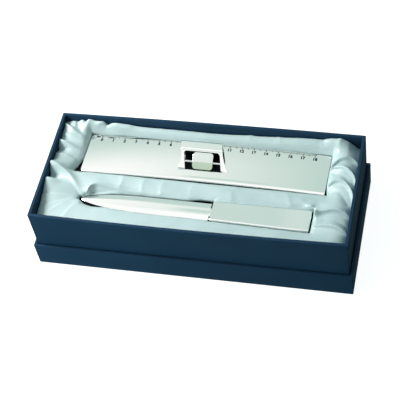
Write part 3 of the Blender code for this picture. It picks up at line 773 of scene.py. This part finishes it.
UNIT = 10 * MM
blade = cube("opener_blade_polished", (-BLADE_LENGTH, -UNIT, -UNIT), (SHOULDER, UNIT, UNIT))
cuts = [-BLADE_LENGTH + TIP_LENGTH * (i / 26) ** 1.5 for i in range(1, 27)]
cuts += [cuts[-1] + (SHOULDER - cuts[-1]) * i / 16 for i in range(1, 16)]
crosscuts(blade, 0, cuts)
crosscuts(blade, 1, [UNIT * i / 6 for i in range(-5, 6)])
net = coordinates(blade)
half = blade_half(net[:, 0])
across = net[:, 1] / UNIT
thick = BLADE_T / 2 * np.minimum(1.0, 0.35 + half / BLADE_HALF)
net[:, 1] = across * half
net[:, 2] = np.sign(net[:, 2]) * (BLADE_EDGE / 2 + (thick - BLADE_EDGE / 2) * (1 - across ** 2))
move_vertices(blade, net)
apply_modifier(blade, "BEVEL", width=0.1 * MM, segments=2, limit_method="ANGLE",
               angle_limit=math.radians(50), use_clamp_overlap=True)
edit(blade)
pick(blade, "faces", lambda f: f.normal.x > 0.9 and f.calc_center_median().x > SHOULDER - 0.05 * MM)
bpy.ops.mesh.extrude_region_move(TRANSFORM_OT_translate={"value": (0, 0, 0)})
bpy.ops.transform.resize(value=(1, TANG_HALF / BLADE_HALF, TANG_T / BLADE_T),
                         center_override=(SHOULDER, 0, 0))
bpy.ops.mesh.extrude_region_move(TRANSFORM_OT_translate={"value": (TANG_LENGTH - SHOULDER, 0, 0)})
done(blade)
move_vertices(blade, to_opener(coordinates(blade)))
smooth(blade, 35)
even_shading(blade)
dress(blade, silver)
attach(blade, "opener")
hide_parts("opener_blade")
print("blade", len(blade.data.polygons), "faces")

# %% [markdown]
# The handle is two pressed shells soldered along their middle. Both are rounded copies of the packed
# parts, with the joint between them left as a fine line.

# %% Handle
for node, name in (("opener_handle_top", "opener_handle_top_polished"),
                   ("opener_handle_bottom", "opener_handle_bottom_polished")):
    shell = polished_copy(node, name, 0.12 * MM, 2)
    dress(shell, silver)
    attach(shell, "opener")
    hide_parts(node)
    print(name, len(shell.data.polygons), "faces")

# %% [markdown]
# ## Satin
# Satin shows a long soft highlight because its threads float over several others and lie almost
# parallel. It is pale ice white, with a slight sheen at grazing angles. The threads are far finer than
# a render can show, so the weave is drawn coarser, as a faint ribbing about 1.4 mm apart.

# %% Satin material
RIB_SCALE = 1 / (3.2 * MM)
satin_paint, shader = new_material("ice_white_satin", Roughness=0.28, Sheen_Weight=0.2, Sheen_Roughness=0.35)
where = add_node(satin_paint, "ShaderNodeTexCoord").outputs["Object"]
ribs = add_node(satin_paint, "ShaderNodeTexWave", {"bands_direction": "DIAGONAL"},
                {"Vector": where, "Scale": RIB_SCALE, "Distortion": 1.5, "Detail": 1.0})
bump = add_node(satin_paint, "ShaderNodeBump", inputs={"Height": ribs.outputs[0], "Strength": 0.06,
                                                       "Distance": 0.03 * MM})
satin_paint.node_tree.links.new(bump.outputs[0], shader.inputs["Normal"])
mottled(satin_paint, shader, where, 18 * MM, "#d0e6e6", "#e2f2f1")

# %% [markdown]
# ## Satin lining
# The cloth is stuffed up between the wells and the walls: it lies flat beside the silver, rises to a
# puffed crest along the walls, and rolls down out of sight against the paper. Where a rectangle of
# cloth is pushed into corners, the spare length gathers into folds that run from the corners of the
# wells to the walls. Each fold is a line along a main crease of the cloth, with a height and two widths.
# The cloth is slit at the wells and its edges are tucked down beside the silver, onto the dark foam.

# %% Distances to the silver
def ease(value, low, high):
    """Smooth step from 0 at low to 1 at high."""
    t = np.clip((value - low) / (high - low), 0, 1)
    return t * t * (3 - 2 * t)


def box_distance(x, y, low_x, high_x, low_y, high_y):
    """Signed distance to a rectangle, negative inside; its sides may vary from point to point."""
    qx, qy = np.maximum(low_x - x, x - high_x), np.maximum(low_y - y, y - high_y)
    return np.hypot(np.maximum(qx, 0), np.maximum(qy, 0)) + np.minimum(np.maximum(qx, qy), 0)


# gaps between the ruler and the cut edge, and how much more the slit gapes, in millimetres
RULER_GAP_LEFT, RULER_GAPE_LEFT = 0.3, 4.4
RULER_GAP_RIGHT, RULER_GAPE_RIGHT = 0.15, 1.6
RULER_GAP_FRONT, RULER_GAPE_FRONT = 0.12, 0.5
RULER_GAP_BACK = 0.2 * MM
# the same round the opener, in metres
HANDLE_GAPS = {"shoulder": 0.3 * MM, "end": 0.8 * MM, "front": 0.12 * MM, "back": 0.2 * MM}
BLADE_GAP_FRONT, BLADE_GAP_BACK, BLADE_GAP_TIP = 0.35 * MM, 0.45 * MM, 1.6 * MM
BLADE_SLIT_HALF, TIP_GAPE, SHOULDER_GAPE = 0.9 * MM, 2.6 * MM, 1.8 * MM


def ruler_slit(x, y):
    """Distance to the slit round the ruler: it gapes at its front corners."""
    u, v = turned(x, y, RULER_CENTRE, RULER_TURN)
    left_gape, right_gape = ease(-v, 2 * MM, 21 * MM), ease(-v, 9 * MM, 20 * MM)
    front_gape = ease(-u, 90 * MM, 101 * MM)
    return box_distance(u, v, -RULER_HALF_X - (RULER_GAP_LEFT + RULER_GAPE_LEFT * left_gape) * MM,
                        RULER_HALF_X + (RULER_GAP_RIGHT + RULER_GAPE_RIGHT * right_gape) * MM,
                        -RULER_HALF_Y - (RULER_GAP_FRONT + RULER_GAPE_FRONT * front_gape) * MM,
                        RULER_HALF_Y + RULER_GAP_BACK)


def handle_slit(x, y):
    """Distance to the slit round the handle: it gapes at the far end."""
    u, v = turned(x, y, OPENER_AT, OPENER_TURN)
    half = HANDLE_START + (HANDLE_END - HANDLE_START) * u / HANDLE_LENGTH
    return box_distance(u, v, -HANDLE_GAPS["shoulder"], HANDLE_LENGTH + HANDLE_GAPS["end"],
                        -half - HANDLE_GAPS["front"], half + HANDLE_GAPS["back"])


def blade_slit(x, y):
    """Distance to the slit round the blade: it gapes below the tip and behind the shoulder."""
    u, v = turned(x, y, OPENER_AT, OPENER_TURN)
    half = np.maximum(blade_half(u), BLADE_SLIT_HALF)
    tip_gape = TIP_GAPE * ease(-u, 84 * MM, 100 * MM)
    shoulder_gape = SHOULDER_GAPE * ease(u, -24 * MM, -9 * MM)
    front = -half - BLADE_GAP_FRONT - tip_gape * ease(-u, 112 * MM, 104 * MM)
    rear = half + BLADE_GAP_BACK + shoulder_gape
    return np.maximum(np.maximum(front - v, v - rear), np.maximum(-BLADE_LENGTH - BLADE_GAP_TIP - u, u))


def nearest_slit(x, y):
    """Distance to the nearest slit, negative inside it."""
    return np.minimum(np.minimum(ruler_slit(x, y), handle_slit(x, y)), blade_slit(x, y))


# %% [markdown]
# Each fold is a line of a few points from a well to a wall, in millimetres, with its height at both
# ends and a width on each side of the line. A narrow width makes a pinched crease, a wide one a
# rolling puff, and a negative height a valley. Between two creases the cloth hangs in a shallow curve,
# which is why the heights fall off almost as an exponential and not as a bell, from a slightly blunt top.

# %% Folds
LEFT_FOLDS = [
    ([(-103, 35.5), (-109, 37.5), (-116, 41), (-124, 46)], 0.3, 3.6, 1.0, 3.0),
    ([(-105, 33), (-113, 34), (-124, 37)], 0.8, 1.4, 3.4, 3.4),
    ([(-104, 24), (-112, 25), (-118, 26.5), (-125, 29)], 0.3, 3.0, 1.2, 3.4),
    ([(-110, 22), (-119, 22), (-125, 21)], -0.4, -3.6, 2.0, 2.4),
    ([(-103, 10), (-109, 14), (-116, 15.5), (-125, 15)], 0.3, 2.4, 1.2, 3.8),
    ([(-92, -22), (-96, -16), (-101, -10), (-107, -4), (-113, -0.5), (-119, 2), (-125, 3)],
     0.6, 4.8, 3.0, 4.2),
    ([(-110, -6), (-118, -5.5), (-125, -5)], -0.2, -4.2, 2.4, 2.4),
    ([(-110, -13), (-118, -12.5), (-125, -12)], 0.1, 2.8, 1.8, 5.0),
    ([(-93, -22.5), (-103, -30), (-115, -42)], 0.5, 0.9, 1.6, 6.0),
    ([(-94, -22), (-106, -24), (-125, -28)], 0.35, 0.7, 0.9, 4.0),
    ([(-95, -23), (-108, -31), (-124, -39)], 0.3, 0.5, 0.8, 3.5),
    ([(-92, -25), (-97, -34), (-102, -46)], 0.35, 0.5, 0.9, 3.0),
    ([(-100, -22), (-112, -24), (-125, -26)], -0.4, -0.9, 4.0, 4.0),
    ([(-107, 46), (-109, 49), (-111, 52)], 0.2, 2.2, 2.6, 3.2),
    ([(-107, 43.5), (-104.5, 47), (-102, 52)], 0.5, 2.0, 2.6, 3.6),
    ([(-106.5, 45), (-107, 48), (-107, 52)], -0.3, -2.2, 1.4, 1.4),
    ([(-106, 39.5), (-110, 42.5), (-113, 46), (-114, 50)], -0.4, -2.8, 2.2, 2.2),
    ([(-102, 44), (-97, 46.5), (-91, 50)], 0.4, 1.8, 1.1, 3.0),
    ([(-90, 46), (-88, 49), (-87, 52)], -0.2, -2.4, 1.4, 2.2),
    ([(-86, 44), (-78, 46), (-68, 49)], 0.2, 0.8, 1.2, 3.0),
]
MIDDLE_FOLDS = [
    ([(-88.5, -19), (-88, -14.5), (-84, -10.5), (-76, -10.5), (-66, -11.5), (-52, -12.5), (-30, -14)],
     4.0, 0.6, 1.2, 2.2),
    ([(-86, -16.2), (-80, -15.2), (-68, -15.8), (-50, -17)], -2.4, -0.5, 1.5, 1.5),
    ([(-64, 2), (-63, -4), (-64, -9)], 0.8, 0.9, 2.2, 4.0),
    ([(-45, 2), (-46, -5), (-45, -11)], 0.5, 0.8, 2.2, 4.0),
    ([(-28, 2), (-30, -5), (-29, -12)], 0.3, 0.6, 2.0, 5.0),
    ([(-4, 1), (-6, -5), (-5, -12)], 0.2, 0.4, 2.0, 5.0),
    ([(30, 1), (27, -6), (29, -12)], 0.2, 0.5, 5.0, 3.0),
    ([(70, 1), (73, -6), (76, -12)], 0.2, 0.7, 4.0, 2.5),
    ([(96, -19), (93, -14.5), (88, -11), (84, -7)], 3.2, 0.4, 2.0, 2.6),
]
RIGHT_FOLDS = [
    ([(101.5, 25), (106, 31), (110.3, 33.5), (118, 34.6), (124.5, 31)], 3.0, 3.8, 0.7, 2.2),
    ([(103.3, 26.7), (112.8, 26.2), (121.6, 19.5), (124.5, 12)], 2.2, 4.6, 0.7, 1.8),
    ([(102.5, 9.5), (108.4, 12.6), (114.8, 11.3), (121.2, 4.6), (124.5, -4), (125, -11)], 3.2, 5.2, 0.75, 2.2),
    ([(94.5, -20.3), (102.2, -18), (109.8, -16.7), (116.4, -17.4), (124, -20.4)], 3.4, 4.6, 0.8, 2.4),
    ([(97, -30.5), (107.9, -31), (115.8, -32.9), (124, -36.7)], 2.2, 4.6, 0.75, 2.2),
    ([(95.5, -17.5), (93, -13.5)], 1.8, 2.2, 2.6, 2.6),
    ([(106, 21), (114, 19.5), (121, 10)], -1.4, -2.4, 2.6, 2.6),
    ([(105, 4), (113, 3), (120, -7)], -1.2, -2.4, 3.4, 3.4),
    ([(104, -24), (113, -24), (122, -28)], -1.0, -2.2, 2.6, 2.6),
    ([(104, 43), (106, 47), (109, 52)], 0.6, 1.6, 3.0, 4.0),
    ([(96, 44), (94, 48), (92, 52)], -0.2, -0.9, 2.4, 3.4),
    ([(60, 44), (58, 48), (57, 52)], 0.2, 0.6, 1.4, 4.0),
    ([(30, 44), (33, 48), (34, 52)], 0.1, 0.5, 1.4, 4.0),
]
FOLDS = LEFT_FOLDS + MIDDLE_FOLDS + RIGHT_FOLDS


def smooth_line(points, rounds=3):
    """Cut the corners of a line of points until it curves."""
    for _ in range(rounds):
        cut = [points[0]]
        for (ax, ay), (bx, by) in zip(points, points[1:]):
            cut += [(0.75 * ax + 0.25 * bx, 0.75 * ay + 0.25 * by),
                    (0.25 * ax + 0.75 * bx, 0.25 * ay + 0.75 * by)]
        points = cut + [points[-1]]
    return points


def to_line(x, y, line):
    """Signed distance to a line of points, and the share of the way along it."""
    best, share, side = np.full(x.shape, 1e9), np.zeros(x.shape), np.ones(x.shape)
    lengths = [math.dist(a, b) for a, b in zip(line, line[1:])]
    run = 0.0
    for (ax, ay), (bx, by), length in zip(line, line[1:], lengths):
        tx, ty = (bx - ax) / length, (by - ay) / length
        along = np.clip((x - ax) * tx + (y - ay) * ty, 0, length)
        distance = np.hypot(x - ax - along * tx, y - ay - along * ty)
        nearer = distance < best
        best = np.where(nearer, distance, best)
        share = np.where(nearer, (run + along) / sum(lengths), share)
        side = np.where(nearer, np.sign((x - ax) * ty - (y - ay) * tx), side)
        run += length
    return best * side, share


def fold_height(x, y):
    """Height that all the folds add, in millimetres."""
    total = np.zeros(x.shape)
    for line, low, high, right_width, left_width in FOLDS:
        distance, share = to_line(x, y, smooth_line(line))
        width = np.where(distance > 0, right_width, left_width)
        blunt = 0.2 * min(right_width, left_width)
        soft = np.hypot(distance, blunt) - blunt
        total += (low + (high - low) * ease(share, 0.0, 0.85)) * np.exp(-((soft / width) ** 1.1))
    return total


# %% [markdown]
# The body of the cloth is worked out point by point. Each wall has a crest height that varies along
# it, and a distance from the wall at which the cloth crests before it rolls down. The height climbs
# from the wells to the crest along a quarter of a sine, the shape of a stuffed cushion.

# %% Height of the cloth
# along the wall and height of the crest above the floor, in millimetres
CREST_LEFT = ([-50, -40, -30, -20, -14, -8, 0, 8, 14, 19, 26, 31, 40, 50],
              [49.5, 51, 53, 55, 56, 52.5, 55.5, 54, 52, 53, 54.5, 53, 53.5, 53])
CREST_BACK = ([-122, -116, -110, -104, -98, -87, -80, -60, -33, 18, 64, 90, 100, 107, 114, 121],
              [54, 56.5, 55.5, 57, 56, 55, 56, 53.5, 52, 51.8, 54, 55, 57.5, 58, 56, 50])
CREST_RIGHT = ([-50, -36, -24, -12, 0, 14, 28, 38, 50],
               [50.5, 51.5, 51.5, 52.5, 52.5, 52.5, 52.5, 53, 52])
CREST_FRONT = ([-122, -90, -50, 0, 60, 100, 122], [49.5, 50.5, 50.2, 49.8, 50.2, 51, 50.5])
# how far from each wall the cloth crests, and how deep it rolls down beside the wall
ROLLS = {"left": (1.2, 2.5), "right": (14.0, 7.5), "back": (1.8, 3.5), "front": (7.0, 6.0)}
EDGE_Z, TUCK_Z = 47.2, 45.4
PUFF, RIPPLE, CRUMPLE = 0.9, 0.3, 0.13
# how far a wall's crest height spreads, and how widely the walls' distances blend in the corners
CREST_SPREAD, CORNER_BLEND = 6.0, 5.0
# share of the walls' bow that the crest follows
CREST_BOW = 0.7


def cloth_height(x, y):
    """Height of the satin over the floor, for points in millimetres."""
    xm, ym = x * MM, y * MM
    slit = nearest_slit(xm, ym) / MM
    free = np.maximum(slit, 0)
    bowed = 1 - (xm / TRAY_X) ** 2
    half_x = (TRAY_X - TRAY_WALL) / MM
    front = (TRAY_Y - TRAY_WALL + CREST_BOW * BOW_FRONT * bowed) / MM
    rear = (TRAY_Y - TRAY_WALL + CREST_BOW * BOW_BACK * bowed) / MM
    walls = {"left": half_x + x, "right": half_x - x, "back": rear - y, "front": front + y}
    crests = {"left": np.interp(y, *CREST_LEFT), "right": np.interp(y, *CREST_RIGHT),
              "back": np.interp(x, *CREST_BACK), "front": np.interp(x, *CREST_FRONT)}
    weights = {side: np.exp(-np.maximum(walls[side], 0) / CREST_SPREAD) for side in walls}
    crest = sum(weights[side] * crests[side] for side in walls) / sum(weights.values())
    short = {side: np.maximum(walls[side] - min(ROLLS[side][0], CORNER_BLEND), 0) for side in walls}
    inner = -CORNER_BLEND * np.log(sum(np.exp(-short[side] / CORNER_BLEND) for side in walls))
    share = free / (free + np.maximum(inner, 0) + 0.01)
    height = EDGE_Z + (crest - EDGE_Z) * np.sin(np.pi / 2 * share)
    height += fold_height(x, y) * ease(free, 0.0, 1.8)
    height += PUFF * ease(free, 0.3, 4.0)
    ripple = np.sin(x / 9.0 + 1.7 * np.sin(y / 12.0)) + 0.6 * np.sin(y / 5.5 + 1.4 * np.sin(x / 17.0))
    height += RIPPLE * ripple * ease(free, 1.0, 6.0)
    crumple = np.sin(x / 3.4 + 1.3 * np.sin(y / 4.6)) * np.sin(y / 3.9 + 1.1 * np.sin(x / 5.3))
    height += CRUMPLE * crumple * ease(free, 0.5, 4.0)
    for side, (reach, drop) in ROLLS.items():
        roll = np.clip((reach - walls[side]) / reach, 0, 1)
        height -= drop * (1 - np.sqrt(np.maximum(1 - roll ** 2, 0)))
    return height + (TUCK_Z - height) * (1 - ease(slit, -0.2, 0.8))


# %% [markdown]
# The sheet starts as a flat grid. Points that lie close to a slit are pulled onto it, so that the cut
# edge is smooth, and the faces inside the slits are deleted. Then every point takes its height. The
# outer border is extruded down to the foam as a hem, so that no bare foam shows when the fitment is
# lifted out, and Solidify gives the cloth its thickness.

# %% Satin sheet
CELL = 0.6 * MM
CLOTH_T = 0.25 * MM
SHEET_X, SHEET_Y = TRAY_X - TRAY_WALL - 0.5 * MM, TRAY_Y - TRAY_WALL - 0.5 * MM
# share of the walls' bow that the sheet's border follows, and how much of it the hem takes back
SHEET_BOW, HEM_BACK = 0.6, 0.3

bpy.ops.object.select_all(action="DESELECT")
bpy.ops.mesh.primitive_grid_add(x_subdivisions=round(2 * SHEET_X / CELL),
                                y_subdivisions=round(2 * SHEET_Y / CELL), size=1)
satin = bpy.context.active_object
satin.name = satin.data.name = "satin_sheet"
sheet = coordinates(satin)
sheet[:, 0] *= 2 * SHEET_X
sheet[:, 1] *= 2 * SHEET_Y
bowed = 1 - (sheet[:, 0] / TRAY_X) ** 2
bow_y = np.where(sheet[:, 1] < 0, -BOW_FRONT, BOW_BACK)
sheet[:, 1] += bow_y * SHEET_BOW * np.abs(sheet[:, 1]) / SHEET_Y * bowed


for _ in range(2):
    gap = nearest_slit(sheet[:, 0], sheet[:, 1])
    step = 0.01 * MM
    gx = (nearest_slit(sheet[:, 0] + step, sheet[:, 1]) - gap) / step
    gy = (nearest_slit(sheet[:, 0], sheet[:, 1] + step) - gap) / step
    pull = np.where(np.abs(gap) < 0.55 * CELL, gap, 0)
    sheet[:, 0] -= pull * gx
    sheet[:, 1] -= pull * gy
move_vertices(satin, sheet)
edit(satin)
inside = nearest_slit(sheet[:, 0], sheet[:, 1]) < 0.02 * MM
removed = pick(satin, "faces", lambda f: all(inside[v.index] for v in f.verts))
bpy.ops.mesh.delete(type="FACE")
done(satin)
sheet = coordinates(satin)
sheet[:, 2] = cloth_height(sheet[:, 0] / MM, sheet[:, 1] / MM) * MM
move_vertices(satin, sheet)
print("satin net", len(satin.data.polygons), "faces;", removed, "cut away; highest mm",
      round(sheet[:, 2].max() / MM, 1))

# %% Hem of the satin
# the border hangs from the crest to the foam, between the foam's side and the wall
HEM_Z, HEM_OUT = 40.9 * MM, 0.35 * MM
far = nearest_slit(sheet[:, 0], sheet[:, 1]) > 2 * MM
edit(satin, "EDGE")
pick(satin, "edges", lambda e: e.is_boundary and all(far[v.index] for v in e.verts))
bpy.ops.mesh.extrude_edges_move(TRANSFORM_OT_translate={"value": (0, 0, -1 * MM)})
done(satin)
hanging = coordinates(satin)
hem = np.arange(len(hanging)) >= len(sheet)
bowed = 1 - (hanging[:, 0] / TRAY_X) ** 2
at_end = hem & (np.abs(hanging[:, 0]) > SHEET_X - 0.05 * MM)
at_side = hem & (np.abs(hanging[:, 1]) > SHEET_Y - 0.05 * MM)
hanging[at_end, 0] += HEM_OUT * np.sign(hanging[at_end, 0])
hanging[at_side, 1] += HEM_OUT * np.sign(hanging[at_side, 1])
hanging[hem, 2] = HEM_Z
bow_y = np.where(hanging[:, 1] < 0, -BOW_FRONT, BOW_BACK)
hanging[:, 1] -= bow_y * HEM_BACK * np.abs(hanging[:, 1]) / SHEET_Y * bowed * hem
move_vertices(satin, hanging)

# %% Thickness and finish of the satin
apply_modifier(satin, "SOLIDIFY", thickness=CLOTH_T, offset=-1)
only(satin)
bpy.ops.object.shade_smooth()
dress(satin, satin_paint)
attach(satin, "insert")
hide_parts("satin_lining")
print("satin", len(satin.data.polygons), "faces")

# %% [markdown]
# ## Foam pad
# Under the satin lies a die-cut foam pad, painted dark as painted shade, so that a gap beside the silver reads
# as a black line.
# It is a rounded copy of the imported part, whose recesses are already true.

# %% Foam pad
foam = polished_copy("foam_pad", "foam_pad_soft", 0.4 * MM, 2)
dress(foam, foam_gap_shade_paint)
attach(foam, "insert")
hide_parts("foam_pad")
print("foam", len(foam.data.polygons), "faces")
